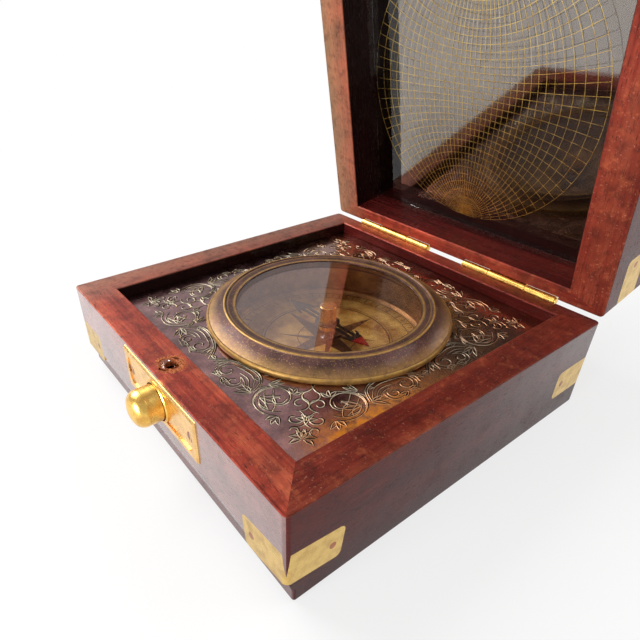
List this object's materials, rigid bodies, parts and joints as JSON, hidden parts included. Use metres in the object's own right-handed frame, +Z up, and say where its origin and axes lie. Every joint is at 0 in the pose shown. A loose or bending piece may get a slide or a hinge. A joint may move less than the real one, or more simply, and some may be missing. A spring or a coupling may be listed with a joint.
{
  "type": "compass box",
  "caption": "Square hardwood box with a brass-rimmed compass let into its base, a hinged lid with a net of gold lines under glass, and a push-button latch.",
  "frame": {"origin": "middle of the base's underside, which is the face that the box rests on", "axes": "+Z up from the table, -Y towards the latch, +Y towards the hinges, +X to the right seen from the latch"},
  "size_m": [0.1, 0.1274, 0.1282],
  "materials": {
    "rosewood": "oiled red-brown hardwood with fine dark pores",
    "rosewood_panel": "oiled red-brown hardwood, darker",
    "plain_wood": "plain sawn wood",
    "antique_brass": "darkened brass with rubbed bright edges",
    "dial_brass": "darkened brass dial with printed graduations",
    "blackened_brass": "black enamelled plate, polished to a dim mirror",
    "polished_brass": "polished brass, lightly worn",
    "spring_steel": "plain steel",
    "black_needle": "black with a red point",
    "jewel": "polished cup jewel",
    "clear_glass": "clear flat glass"
  },
  "bodies": {
    "base": {"base_front_wall": "rosewood", "base_right_wall": "rosewood", "base_back_wall": "rosewood", "base_left_wall": "rosewood", "base_bottom_panel": "rosewood_panel", "filler_block": "plain_wood", "deck_plate": "antique_brass", "compass_bowl": "antique_brass", "dial_plate": "dial_brass", "dial_ring": "antique_brass", "pivot_post": "spring_steel", "bezel_ring": "antique_brass", "compass_glass": "clear_glass", "glass_retaining_ring": "antique_brass", "latch_plate": "polished_brass", "button_bushing": "polished_brass", "latch_screws": "polished_brass", "latch_springs": "spring_steel", "hinge_base_leaf_left": "polished_brass", "hinge_base_leaf_right": "polished_brass", "hinge_pin_left": "polished_brass", "hinge_pin_right": "polished_brass", "hinge_base_nails": "polished_brass", "base_straps_front_left": "polished_brass", "base_straps_front_right": "polished_brass", "base_straps_back_left": "polished_brass", "base_straps_back_right": "polished_brass", "base_strap_nails": "polished_brass"},
    "latch_button": {"latch_button": "polished_brass", "latch_catch": "polished_brass"},
    "needle": {"needle_blade": "black_needle", "needle_cap": "polished_brass", "needle_jewel": "jewel"},
    "lid": {"lid_front_rail": "rosewood", "lid_right_rail": "rosewood", "lid_back_rail": "rosewood", "lid_left_rail": "rosewood", "lid_top_panel": "rosewood", "lid_backing_board": "plain_wood", "mirror_plate": "blackened_brass", "lid_glass": "clear_glass", "strike_plate": "polished_brass", "strike_pin": "polished_brass", "strike_screws": "polished_brass", "hinge_lid_leaf_left": "polished_brass", "hinge_lid_leaf_right": "polished_brass", "hinge_lid_nails": "polished_brass", "lid_straps_front_left": "polished_brass", "lid_straps_front_right": "polished_brass", "lid_straps_back_left": "polished_brass", "lid_straps_back_right": "polished_brass", "lid_strap_nails": "polished_brass"}
  },
  "joints": [
    {"name": "lid_hinge", "type": "hinge", "parent": "base", "child": "lid", "pos_m": [0, 0.0506, 0.02575], "axis": [-1, 0, 0], "range_deg": [-78.85, 98]},
    {"name": "latch_press", "type": "slide", "parent": "base", "child": "latch_button", "axis": [0, 1, 0], "range_m": [0, 0.0014], "stiffness_N_per_m": 400, "springref_m": -0.003, "deforming": ["latch_springs"]},
    {"name": "needle_spin", "type": "hinge", "parent": "base", "child": "needle", "pos_m": [0, 0.00175, 0.019], "axis": [0, 0, 1], "continuous": true}
  ]
}
